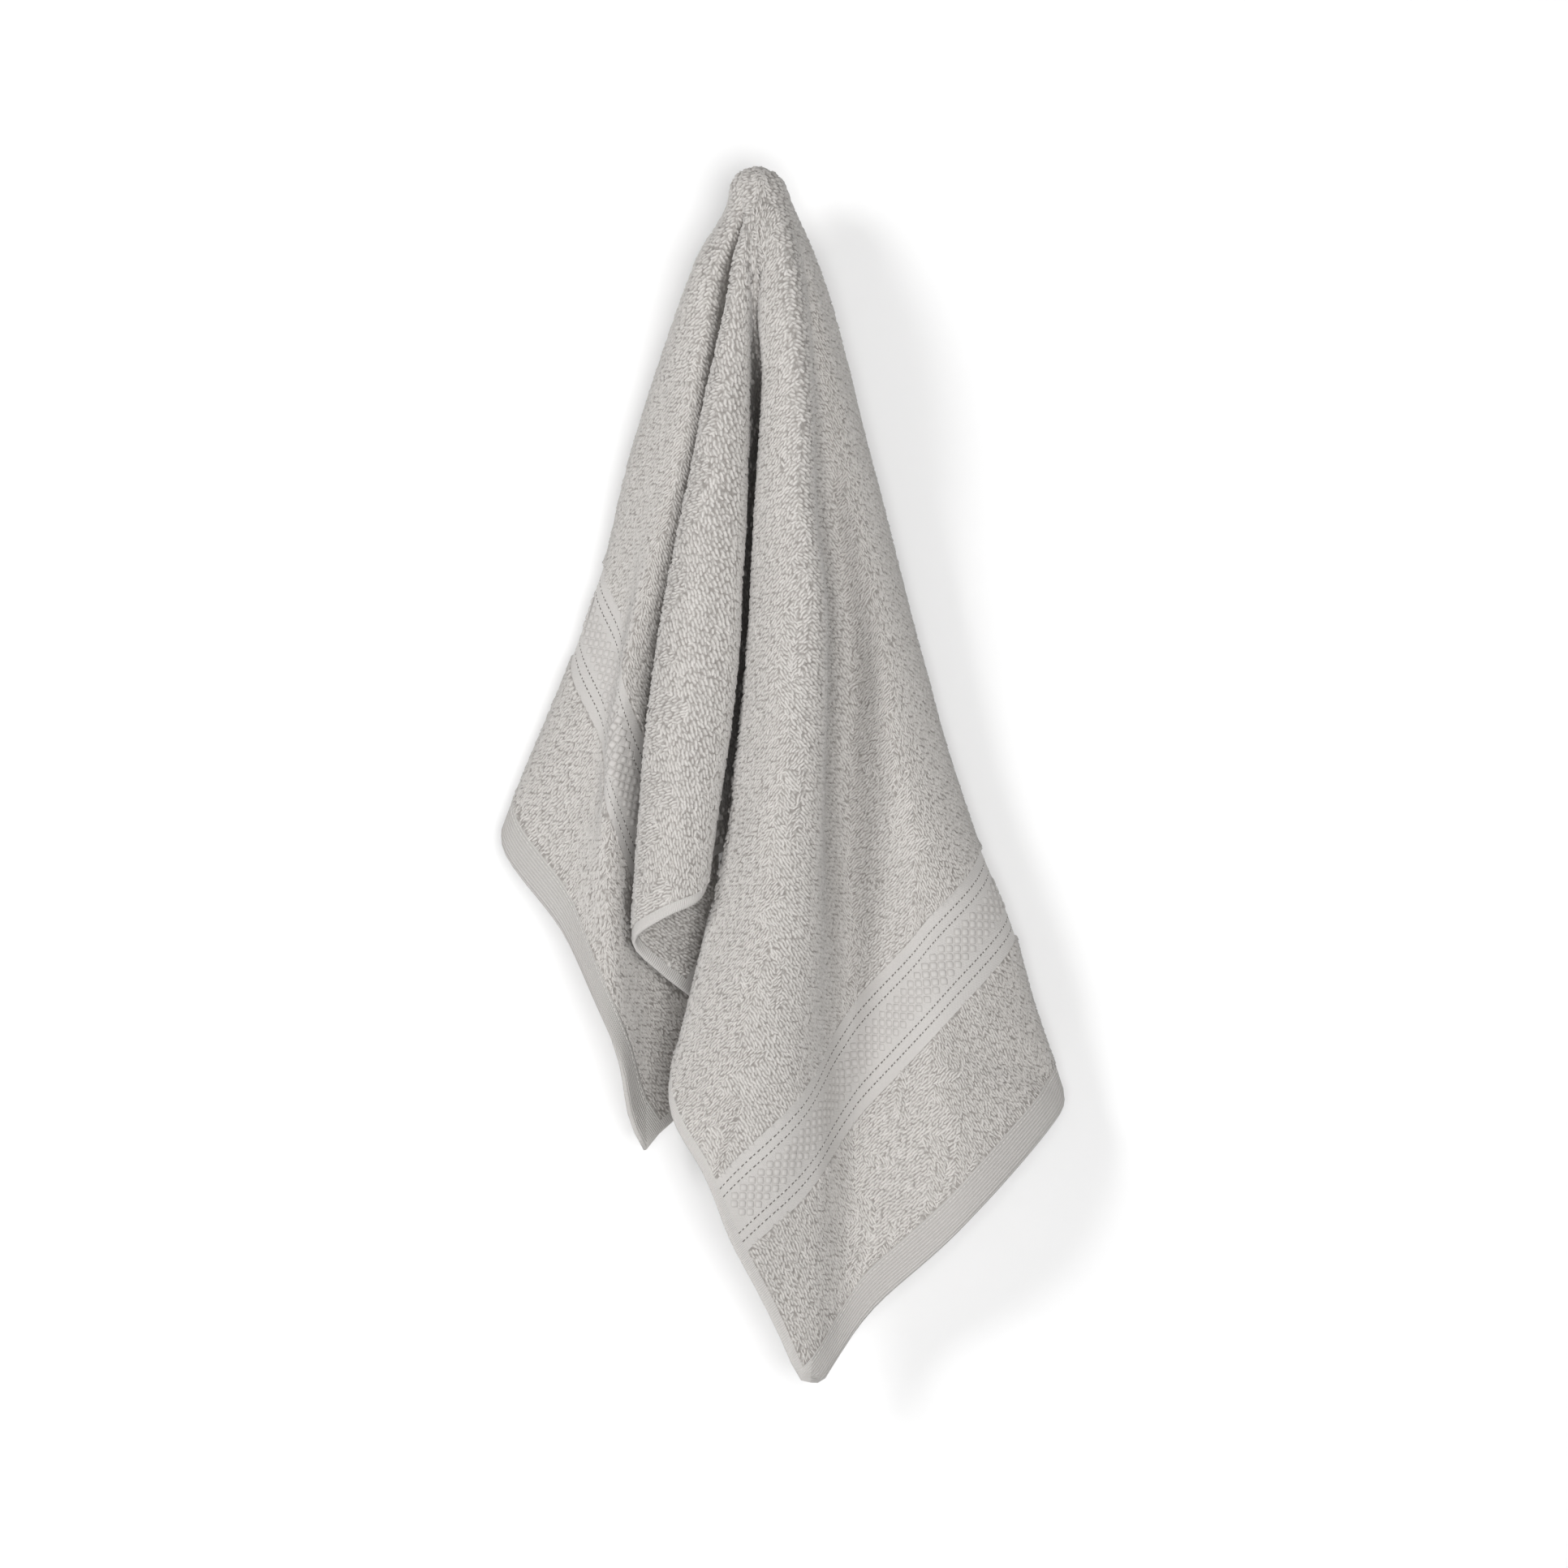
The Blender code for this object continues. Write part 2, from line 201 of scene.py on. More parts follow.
def hang(along, lengths):
    # points of the hung cloth: one row per direction, one column per length of cloth
    plan, bearing = foldLines(along)
    edge = reach(along)
    outward = np.stack([np.sin(bearing), -np.cos(bearing)], axis=1)
    neck, cap, radius = cloth["neckLength"], cloth["capLength"], cloth["capRadius"]
    pastNeck = edge - neck
    level = np.stack([np.full_like(edge, cap), np.full_like(edge, neck),
                      neck + cloth["shoulderShare"] * pastNeck,
                      neck + cloth["waistShare"] * pastNeck, edge], axis=1)
    capTurn = cap / radius
    stop = np.concatenate([(outward * radius * math.sin(capTurn))[:, None], plan], axis=1)
    span = np.diff(level, axis=1)[..., None]
    rise = np.diff(stop, axis=1) / span
    slope = np.empty_like(stop)
    slope[:, 0] = (outward * math.cos(capTurn) + rise[:, 0]) / 2
    slope[:, 1:-1] = ((rise[:, :-1] * span[:, 1:] + rise[:, 1:] * span[:, :-1])
                      / (span[:, :-1] + span[:, 1:]))
    slope[:, -1] = 1.5 * rise[:, -1] - 0.5 * slope[:, -2]

    steps = cloth["profileSteps"]
    run = edge[:, None] * np.linspace(0, 1, steps + 1)
    pastCap = np.maximum(run, cap)
    i = np.clip((pastCap[..., None] >= level[:, None, :]).sum(axis=2) - 1, 0, level.shape[1] - 2)
    ray = np.arange(len(along))[:, None]
    width = span[ray, i]
    t = (pastCap - level[ray, i])[..., None] / width
    flat = blend(t, stop[ray, i], stop[ray, i + 1], slope[ray, i] * width, slope[ray, i + 1] * width)
    turn = np.sin(np.minimum(run, cap) / radius)[..., None]
    flat = np.where((run < cap)[..., None], outward[:, None] * radius * turn, flat)

    past = np.clip((run - cap) / neck, 0, 1)
    give = 1 + cloth["biasGive"] * (np.sin(2 * along) ** 2)[:, None] * past
    step = (edge / steps)[:, None] * give
    lean = np.gradient(flat, axis=1) / step[..., None]
    fall = np.sqrt(np.maximum(1 - (lean ** 2).sum(axis=2), cloth["leastFall"] ** 2)) * step
    drop = np.cumsum((fall[:, 1:] + fall[:, :-1]) / 2, axis=1)
    drop = np.concatenate([np.zeros((len(along), 1)), drop], axis=1)
    profile = np.concatenate([flat, -drop[..., None]], axis=2)

    share = lengths / edge[:, None] * steps
    low = np.clip(share.astype(int), 0, steps - 1)
    part = (share - low)[..., None]
    return profile[ray, low] * (1 - part) + profile[ray, low + 1] * part


def directions():
    # rays evenly spread in each fold, with one in every corner and where a border meets a selvedge
    known = [math.radians(row[1]) for row in folds]
    for end in (cloth["toEndRight"], -cloth["toEndLeft"]):
        for inset in (cloth["bandFromEnd"], cloth["bandFromEnd"] + cloth["bandWidth"], cloth["hem"]):
            known += [math.atan2(end - math.copysign(inset, end), side) for side in betweenSelvedges()]
    known.sort()
    merged = [known[0]]
    for angle in known[1:]:
        if angle - merged[-1] > cloth["sameAngle"]:
            merged.append(angle)
    along = []
    for start, end in zip(merged[:-1], merged[1:]):
        arc = (end - start) * float(reach(np.array([(start + end) / 2]))[0])
        count = max(1, round(arc / cloth["rayPitch"]))
        along += [start + (end - start) * k / count for k in range(count)]
    return np.array(along + [merged[-1]])


def ringLengths(along):
    # rings out from the hanging point: crown, neck, body, woven border, end field, hem or selvedge
    border = reach(along, cloth["selvedge"], cloth["hem"])
    edge = reach(along)
    steep = np.maximum(abs(np.sin(along)), tiny)
    bandStart = np.minimum((toEnd(along) - cloth["bandFromEnd"] - cloth["bandWidth"]) / steep, border)
    bandEnd = np.minimum((toEnd(along) - cloth["bandFromEnd"]) / steep, border)
    cap, neck = np.full_like(edge, cloth["capLength"]), np.full_like(edge, cloth["neckLength"])
    stations = (0 * edge, cap, neck, bandStart, bandEnd, border, edge)
    columns, zones = [], []
    for zone, name in enumerate(("cap", "neck", "body", "band", "end", "hem")):
        count = cloth[name + "Rings"]
        start, stop = stations[zone:zone + 2]
        columns += [start + (stop - start) * k / count for k in range(count)]
        zones += [zone] * count
    return np.stack(columns + [edge], axis=1), zones


def smooth(t):
    t = np.clip(t, 0, 1)
    return t * t * (3 - 2 * t)


def thicknessAt(u, v):
    # whole thickness of the woven ground, hems, selvedges and borders, at places on the flat cloth
    fromSide, fromEnd = toSide(u) - abs(u), toEnd(v) - abs(v)
    near, far, slack = cloth["bandFromEnd"], cloth["bandFromEnd"] + cloth["bandWidth"], cloth["slack"]
    inBand = (fromEnd > near - slack) & (fromEnd < far + slack)
    thick = np.where(inBand, cloth["bandThick"], cloth["groundThick"])
    thick = np.where(fromSide < cloth["selvedge"] + slack, cloth["selvedgeThick"], thick)
    thick = np.where(fromEnd < cloth["hem"] + slack, cloth["hemThick"], thick)
    nearest = np.minimum(fromEnd, fromSide) / cloth["edgeRound"]
    return thick * np.sqrt(np.clip(nearest, cloth["edgeLeast"], 1))


# soft creases and swells laid on the folds: start and end on the flat cloth, then the widths
# and the heights outwards at the start and at the end, all in mm
softCreases = [
    # name                        start           end             widths      heights
    ("front crest line",          (25, 28),       (172, 195),     (3, 9),     (1.2, 2.4)),
    ("valley beside the crest",   (20, 30),       (152, 222),     (3, 15),    (-2.0, -4.5)),
    ("right wing crease",         (150, 330),     (95, 392),      (7, 7),     (-2.2, -2.2)),
    ("right wing swell",          (120, 250),     (60, 350),      (22, 22),   (2.5, 2.5)),
    ("right face hollow",         (105, 200),     (150, 310),     (20, 26),   (-1.0, -2.0)),
    ("left wing hollow",          (90, -130),     (160, -230),    (18, 18),   (-2.0, -2.0)),
    ("left wing swell",           (70, -160),     (95, -262),     (14, 14),   (1.8, 1.8)),
    ("recess",                    (170, -125),    (292, -212),    (12, 20),   (-2, -7)),
    ("gap under the crown",       (40, 7),        (98, 16),       (6, 6),     (4.0, 5.0)),
    ("middle roll dent",          (150, -50),     (230, -80),     (9, 9),     (-1.6, -1.6)),
    ("front panel dent",          (200, 150),     (250, 215),     (16, 16),   (-2.0, -2.0)),
    ("front panel swell",         (150, 160),     (290, 330),     (14, 14),   (1.8, 1.8)),
]


def creaseHeight(u, v):
    height = np.zeros_like(u)
    for _, start, end, widths, rises in softCreases:
        a, b = np.array(start) * mm, np.array(end) * mm
        run = b - a
        t = ((u - a[0]) * run[0] + (v - a[1]) * run[1]) / (run @ run)
        on = np.clip(t, 0, 1)
        off = np.hypot(u - a[0] - on * run[0], v - a[1] - on * run[1])
        width, rise = (pair[0] + (pair[1] - pair[0]) * on for pair in (widths, rises))
        fade, lead = cloth["creaseFade"], cloth["creaseLead"]
        ends = smooth(t / fade + lead) * smooth((1 - t) / fade + lead)
        height += rise * mm * np.exp(-(off / (width * mm)) ** 2) * ends
    return height


# edges drawn a little aside: place on the flat cloth, how far it reaches, and the shift, in mm
softPulls = [
    # name                        place           reach  shift
    ("front selvedge",            (295, 250),     55,    (-4, 0, -2)),
    ("front selvedge below",      (295, 322),     60,    (-4.5, 0, -1)),
    ("left tip",                  (295, -236),    34,    (4, 1, -3)),
    ("lowest corner",             (295, 393),     60,    (-2, 0, -6.5)),
    ("lowest tip",                (295, 393),     13,    (1, 0, 9)),
    ("left of the crown",         (20, -19),      24,    (4.5, 0, 0)),
    ("recess",                    (290, -240),    40,    (0, 11, 0)),
    ("left outline",              (81, -183),     70,    (2.5, 0, 0)),
    ("left hem corner",           (115, -262),    50,    (-2.5, 0, 0)),
    ("right wing",                (113, 310),     110,   (0, -7, 0)),
    ("right dip",                 (118, 172),     50,    (3, 3, 0)),
    ("gap right wall",            (62, 28),       32,    (-3.5, 0, 0)),
    ("left tip hem",              (280, -267),    36,    (-4, 0, 0)),
    ("front crest",               (116, 132),     40,    (2, -2, 0)),
    ("right hem",                 (183, 393),     70,    (3, 0, -2)),
]


def pullShift(flat):
    shift = np.zeros((len(flat), 3))
    for _, place, far, move in softPulls:
        away = np.linalg.norm(flat / mm - place, axis=1) / far
        shift += smooth(1 - away)[:, None] * np.array(move) * mm
    return shift


def materialZone(zones, along, k, ring):
    # 0 pile ground, 1 woven border, 2 hem, 3 selvedge
    if zones[ring] == 3:
        return 1
    if zones[ring] < 5:
        return 0
    middle = (along[k] + along[k + 1]) / 2
    onEnd = reach(np.array([middle]))[0] * abs(math.sin(middle))
    return 2 if onEnd > toEnd(middle) - cloth["weld"] else 3


def turnOutwards(bm):
    # faces all the same way out, with the highest one facing up
    bmesh.ops.recalc_face_normals(bm, faces=bm.faces[:])
    top = max(bm.faces, key=lambda face: face.calc_center_median().z)
    top.normal_update()
    if top.normal.z < 0:
        bmesh.ops.reverse_faces(bm, faces=bm.faces[:])


def meshOf(bm, name):
    mesh = bpy.data.meshes.new(name)
    bm.to_mesh(mesh)
    bm.free()
    return mesh


def linked(name, data):
    made = bpy.data.objects.new(name, data)
    bpy.context.scene.collection.objects.link(made)
    return made


def makeMidSurface():
    # the middle of the cloth: a grid of rays and rings, with its place on the flat cloth as a map
    along = directions()
    lengths, zones = ringLengths(along)
    points = hang(along, lengths)
    rays, rings = lengths.shape
    u, v = lengths * np.cos(along)[:, None], lengths * np.sin(along)[:, None]
    fromSide = toSide(u) - abs(u)
    bm = bmesh.new()
    bmesh.ops.create_grid(bm, x_segments=rays - 1, y_segments=rings - 1, size=1)
    flatMap = bm.loops.layers.uv.new("flat")
    edgeMap = bm.loops.layers.uv.new("fromEdges")
    place = {vert: (round((vert.co.x + 1) / 2 * (rays - 1)), round((vert.co.y + 1) / 2 * (rings - 1)))
             for vert in bm.verts}
    for face in bm.faces:
        ks, rs = zip(*(place[vert] for vert in face.verts))
        face.material_index = materialZone(zones, along, min(ks), min(rs))
        face.smooth = True
        onRight = along[min(ks)] + along[max(ks)] > 0
        for corner in face.loops:
            here = place[corner.vert]
            fromEnd = cloth["toEndRight"] - v[here] if onRight else cloth["toEndLeft"] + v[here]
            corner[flatMap].uv = (u[here], v[here])
            corner[edgeMap].uv = (fromSide[here], fromEnd)
    for vert, here in place.items():
        vert.co = points[here]
    bmesh.ops.remove_doubles(bm, verts=bm.verts[:], dist=cloth["weld"])
    bmesh.ops.dissolve_degenerate(bm, edges=bm.edges[:], dist=cloth["weld"])
    turnOutwards(bm)
    return meshOf(bm, "midSurface")


def flatPlaces(mesh):
    # where each vertex lies on the flat cloth
    corners = np.zeros(len(mesh.loops) * 2, np.float32)
    mesh.uv_layers["flat"].data.foreach_get("uv", corners)
    owner = np.zeros(len(mesh.loops), np.int32)
    mesh.loops.foreach_get("vertex_index", owner)
    flat = np.zeros((len(mesh.vertices), 2))
    flat[owner] = corners.reshape(-1, 2)
    return flat


def readVectors(items, name):
    values = np.zeros(len(items) * 3, np.float32)
    items.foreach_get(name, values)
    return values.reshape(-1, 3).astype(float)


def shapeByHand(mesh):
    # soft creases, a slight waviness and the drawn edges; returns each corner's place on the flat cloth
    flat = flatPlaces(mesh)
    points, normals = readVectors(mesh.vertices, "co"), readVectors(mesh.vertices, "normal")
    waves = np.array([noise.noise(Vector((x, y, 0)) / cloth["wavePitch"]) for x, y in flat])
    fade = smooth((np.hypot(*flat.T) - cloth["waveFrom"]) / cloth["waveFade"])
    height = creaseHeight(*flat.T) + waves * cloth["waviness"] * fade
    points += normals * height[:, None] + pullShift(flat)
    points[:, 2] += cloth["groundThick"] / 2
    mesh.vertices.foreach_set("co", points.astype(np.float32).ravel())
    mesh.update()
    return flat


def evaluated(obj, name):
    # a helper object's mesh with its modifiers applied, as an object of its own; the helper goes
    graph = bpy.context.evaluated_depsgraph_get()
    mesh = bpy.data.meshes.new_from_object(obj.evaluated_get(graph), depsgraph=graph)
    mesh.name = name
    bpy.data.objects.remove(obj)
    return linked(name, mesh)


def makeCloth(mid, flat, materials):
    # the cloth's own thickness, half to each side of its middle
    for material in materials:
        mid.materials.append(material)
    helper = linked("clothHelper", mid)
    thick = thicknessAt(*flat.T)
    most = float(thick.max())
    group = helper.vertex_groups.new(name="thickness")
    for index, value in enumerate(thick):
        group.add([index], float(value) / most, "REPLACE")
    wall = helper.modifiers.new("wall", "SOLIDIFY")
    wall.thickness = most
    wall.offset = 0
    wall.vertex_group = "thickness"
    wall.use_even_offset = False
    return evaluated(helper, "towelCloth")


# small things on the cloth
pile = dict(
    rowPitch=1.28 * mm, grainPitch=2.35 * mm,       # from row to row, and from loop to loop along a row
    loopLength=3.2 * mm, loopWidth=1.38 * mm, loopHeight=1.0 * mm,
    wander=0.35 * mm, wanderPitch=9 * mm,          # how far rows stray, and over what length
    jitter=0.3, turn=0.26, tilt=0.14,                # random share of the pitch, and turns in radians
    sideways=1.1,                                  # how far rows lean away from a ridge, against down
    patch=0.45, patchPitch=30 * mm,                # broad changes of that lean
    waveBend=0.35, waveTurns=(4.1, 3.3, 1.7),      # shape of the slow waves that both follow
    sizeSpread=(0.85, 1.2), leastSpread=0.65, mostSpread=1.15,
    edgeRise=1.25, edgeRow=1.9 * mm,               # loops beside a woven edge stand higher
    sunk=0.2 * mm, clearEdge=0.5 * mm,
    hiddenShare=0.06, freeFrom=0.1, freeOver=0.3,  # loops kept where folds lie face to face
    openRays=8, openDistance=0.05, openStart=2 * mm, openLean=1.1,
    backFrom=100, wingFrom=52, frontFrom=5,        # directions in degrees where the pieces part
    seed=4, openSeed=7, tintSeed=3,
)


def unit(vectors):
    return vectors / np.maximum(np.linalg.norm(vectors, axis=-1, keepdims=True), tiny)


def shapeMesh(bm, name):
    # a small item's mesh, smooth, with how high each corner stands in it
    for face in bm.faces:
        face.smooth = True
    mesh = meshOf(bm, name)
    rise = mesh.attributes.new("rise", "FLOAT", "POINT")
    heights = [vert.co.z for vert in mesh.vertices]
    low, high = min(heights), max(heights)
    rise.data.foreach_set("value", [(z - low) / (high - low) for z in heights])
    return mesh


def lyingSphere(around, along):
    # a small round item of diameter 1, its poles along X
    bm = bmesh.new()
    bmesh.ops.create_uvsphere(bm, u_segments=around, v_segments=along, radius=0.5)
    bmesh.ops.rotate(bm, verts=bm.verts[:], matrix=Matrix.Rotation(math.pi / 2, 3, "Y"))
    return bm


def makeLoopShape():
    # a loop of pile lying over: a short rounded grain, open below where it stands in the ground
    bm = lyingSphere(4, 3)
    bmesh.ops.delete(bm, geom=[vert for vert in bm.verts if vert.co.z < -0.1], context="VERTS")
    wide = math.sqrt(0.75)                         # the middle ring's width before it is scaled
    for vert in bm.verts:
        high = max(vert.co.z, 0) * 2
        vert.co.x += 0.12 * high
        vert.co.z = high / wide * (0.92 if vert.co.x < 0 else 1.0)
    bmesh.ops.scale(bm, verts=bm.verts[:],
                    vec=(pile["loopLength"], pile["loopWidth"] / wide, pile["loopHeight"]))
    turnOutwards(bm)
    return shapeMesh(bm, "loopShape")


border = dict(
    square=3.35 * mm, squareRise=0.5 * mm, rowsEachSide=2,
    squareFlare=0.2, squarePinch=0.07,             # its edges go below the weave, its corners pull in
    measureStep=0.5 * mm, leastUpright=0.5,
    edgeToStitch=5.0 * mm, stitchToStitch=4.5 * mm,
    stitchPitch=4.2 * mm, stitchLength=1.5 * mm, stitchWidth=0.6 * mm, stitchRise=0.2 * mm,
    hemStitchFromEnd=12.2 * mm, hemStitchPitch=2.6 * mm,
    dashLong=1.15 * mm, dashShort=0.6 * mm, dashHalfWidth=0.4 * mm, dashEdge=1.8,
)


def makeSquareShape():
    # a raised square of the border's pattern, a soft pillow of side 1 with its corners along X and Y
    bm = bmesh.new()
    bmesh.ops.create_grid(bm, x_segments=4, y_segments=4, size=0.5)
    for vert in bm.verts:
        x, y = abs(vert.co.x) * 2, abs(vert.co.y) * 2
        vert.co.z = (1 - x ** 4) * (1 - y ** 4) - border["squareFlare"] * max(x, y) ** 4
        vert.co.xy *= 1 - border["squarePinch"] * (x * y) ** 2
    bmesh.ops.rotate(bm, verts=bm.verts[:], matrix=Matrix.Rotation(math.pi / 4, 3, "Z"))
    return shapeMesh(bm, "squareShape")


def makeStitchShape():
    bm = lyingSphere(5, 4)
    bmesh.ops.recalc_face_normals(bm, faces=bm.faces[:])
    return shapeMesh(bm, "stitchShape")


def feed(tree, *pairs):
    # gives each socket a fixed value, or a link from another node's socket
    for socket, value in pairs:
        if isinstance(value, bpy.types.NodeSocket):
            tree.links.new(value, socket)
        else:
            socket.default_value = value


def namedVector(tree, name):
    node = tree.nodes.new("GeometryNodeInputNamedAttribute")
    node.data_type = "FLOAT_VECTOR"
    node.inputs["Name"].default_value = name
    return node.outputs["Attribute"]


def enabled(sockets):
    return [socket for socket in sockets if socket.enabled]


def layingTree(name, item, material):
    # puts an item on every point, its own Z along the normal and its X along the way it lies
    tree = bpy.data.node_groups.new(name, "GeometryNodeTree")
    for way in ("INPUT", "OUTPUT"):
        tree.interface.new_socket(name="Geometry", in_out=way, socket_type="NodeSocketGeometry")
    start, stand, lay, info, put, real, paint, finish = (tree.nodes.new(kind) for kind in (
        "NodeGroupInput", "FunctionNodeAlignRotationToVector", "FunctionNodeAlignRotationToVector",
        "GeometryNodeObjectInfo", "GeometryNodeInstanceOnPoints", "GeometryNodeRealizeInstances",
        "GeometryNodeSetMaterial", "NodeGroupOutput"))
    stand.axis = "Z"
    lay.axis, lay.pivot_axis = "X", "Z"
    feed(tree, (info.inputs["Object"], item), (paint.inputs["Material"], material),
         (stand.inputs["Vector"], namedVector(tree, "out")),
         (lay.inputs["Rotation"], stand.outputs["Rotation"]),
         (lay.inputs["Vector"], namedVector(tree, "lay")),
         (put.inputs["Points"], start.outputs["Geometry"]),
         (put.inputs["Instance"], info.outputs["Geometry"]),
         (put.inputs["Rotation"], lay.outputs["Rotation"]),
         (put.inputs["Scale"], namedVector(tree, "size")),
         (real.inputs["Geometry"], put.outputs["Instances"]),
         (paint.inputs["Geometry"], real.outputs["Geometry"]),
         (finish.inputs["Geometry"], paint.outputs["Geometry"]))
    return tree


def layItems(name, spots, item, material):
    # copies of an item at given spots: arrays of place, way out, way it lies, and size
    mesh = bpy.data.meshes.new(name + "Places")
    count = len(spots["place"])
    mesh.vertices.add(count)
    mesh.vertices.foreach_set("co", spots["place"].astype(np.float32).ravel())
    for label in ("out", "lay", "size"):
        layer = mesh.attributes.new(label, "FLOAT_VECTOR", "POINT")
        layer.data.foreach_set("vector", spots[label].astype(np.float32).ravel())
    tint = np.random.default_rng(pile["tintSeed"]).random(count).astype(np.float32)
    mesh.attributes.new("tint", "FLOAT", "POINT").data.foreach_set("value", tint)
    holder = linked(name + "Holder", mesh)
    holder.modifiers.new("lay", "NODES").node_group = layingTree(name, item, material)
    return evaluated(holder, name)


class FlatCloth:
    # finds places on the hung cloth from places on the flat one
    def __init__(self, mesh, flat):
        mesh.calc_loop_triangles()
        self.triangles = np.array([tuple(triangle.vertices) for triangle in mesh.loop_triangles])
        self.flat = flat
        self.points = readVectors(mesh.vertices, "co")
        self.normals = readVectors(mesh.vertices, "normal")
        self.tree = BVHTree.FromPolygons([(x, y, 0) for x, y in flat], self.triangles.tolist())
        self.ways = self.measureWays()
        self.freedom = {side: self.measureFreedom(side) for side in (1, -1)}

    def measureWays(self):
        # at each vertex, how a step across (u) and a step along (v) the flat cloth run on the hung one
        a, b, c = self.triangles.T
        edges = np.stack([self.flat[b] - self.flat[a], self.flat[c] - self.flat[a]], axis=1)
        hung = np.stack([self.points[b] - self.points[a], self.points[c] - self.points[a]], axis=1)
        area = np.linalg.det(edges)
        good = abs(area) > cloth["leastArea"]
        steps = np.linalg.solve(edges[good], hung[good])
        ways, weight = np.zeros((len(self.points), 2, 3)), np.zeros(len(self.points))
        for corner in (a, b, c):
            np.add.at(ways, corner[good], steps * abs(area[good])[:, None, None])
            np.add.at(weight, corner[good], abs(area[good]))
        return ways / np.maximum(weight, tiny)[:, None, None]

    def measureFreedom(self, side):
        # how much of the space in front of each vertex is free of cloth, from 0 to 1
        random = np.random.default_rng(pile["openSeed"])
        rays = unit(random.normal(size=(pile["openRays"], 3)))
        tree = BVHTree.FromPolygons(self.points.tolist(), self.triangles.tolist())
        starts = self.points + side * self.normals * pile["openStart"]
        free = np.zeros(len(self.points))
        for k, (start, normal) in enumerate(zip(starts, side * self.normals)):
            for way in rays + normal * pile["openLean"]:
                free[k] += tree.ray_cast(Vector(start), Vector(way), pile["openDistance"])[0] is None
        return free / pile["openRays"]

    def find(self, places):
        # corners and their weights for each place on the flat cloth
        hits = [self.tree.find_nearest(Vector((u, v, 0)))[2] for u, v in places]
        corners = self.triangles[hits]
        a, b, c = (self.flat[corners[:, k]] for k in range(3))
        whole = np.cross(b - a, c - a)
        second = np.cross(places - a, c - a) / whole
        third = np.cross(b - a, places - a) / whole
        weights = np.clip(np.stack([1 - second - third, second, third], axis=1), 0, 1)
        return corners, weights / weights.sum(axis=1, keepdims=True)

    def at(self, values, found):
        corners, weights = found
        shape = weights.shape + (1,) * (values.ndim - 1)
        return (values[corners] * weights.reshape(shape)).sum(axis=1)

    def spots(self, places, run, size, thick, sides=(1, -1)):
        # spots for layItems at places on the flat cloth; items lie along a direction on it
        found = self.find(places)
        point, normal = self.at(self.points, found), unit(self.at(self.normals, found))
        ways = self.at(self.ways, found)
        lay = unit(ways[:, 0] * run[0] + ways[:, 1] * run[1])
        return joined([dict(place=point + side * normal * thick / 2, out=side * normal, lay=lay,
                            size=np.broadcast_to(size, point.shape)) for side in sides])


def joined(spots):
    return {label: np.concatenate([part[label] for part in spots]) for label in spots[0]}


def picked(spots, keep):
    return {label: values[keep] for label, values in spots.items()}


def bandLevels(sign):
    # a border's edges on the flat cloth, the one nearest the end first
    near = toEnd(sign) - cloth["bandFromEnd"]
    return sign * near, sign * (near - cloth["bandWidth"])


def levelLine(across, level):
    # places on the flat cloth along a line from side to side
    return np.stack([across, np.full_like(across, level)], axis=1)


def distanceToWoven(places):
    # how far inside the pile a place on the flat cloth lies; below 0 on a border, hem or selvedge
    u, v = places.T
    inside = np.minimum(cloth["toSideShown"] - cloth["selvedge"] - u,
                        u + cloth["toSideBehind"] - cloth["selvedge"])
    fromEnd = np.minimum(cloth["toEndRight"] - v, cloth["toEndLeft"] + v)
    inside = np.minimum(inside, fromEnd - cloth["hem"])
    for sign in (1, -1):
        near, far = bandLevels(sign)
        inside = np.minimum(inside, abs(v - (near + far) / 2) - cloth["bandWidth"] / 2)
    return inside


def slowWave(places, pitch, turn):
    # smooth rise and fall from -1 to 1 over the flat cloth
    u, v = places.T / pitch
    first, second, third = pile["waveTurns"]
    bent = u + pile["waveBend"] * np.sin(first * v + turn)
    return np.sin(2 * math.pi * bent + turn) * np.cos(second * v - third * u + 2 * turn)


def pileRows(run, random):
    # places of loops on the flat cloth, in rows that run across it (1, 0) or along it (0, 1)
    lows = np.array([-cloth["toSideBehind"], -cloth["toEndLeft"]])
    highs = np.array([cloth["toSideShown"], cloth["toEndRight"]])
    way, other = (0, 1) if run[0] else (1, 0)
    rows = np.arange(lows[other], highs[other], pile["rowPitch"])
    steps = np.arange(lows[way], highs[way], pile["grainPitch"])
    row, step = np.meshgrid(rows, steps, indexing="ij")
    brick = (np.arange(len(rows)) * 0.5 % 1)[:, None]
    step = step + (brick + random.uniform(-1, 1, step.shape) * pile["jitter"]) * pile["grainPitch"]
    places = np.zeros((row.size, 2))
    places[:, way], places[:, other] = step.ravel(), row.ravel()
    places[:, other] += slowWave(places, pile["wanderPitch"], 1.0) * pile["wander"]
    return places[distanceToWoven(places) > pile["clearEdge"]]


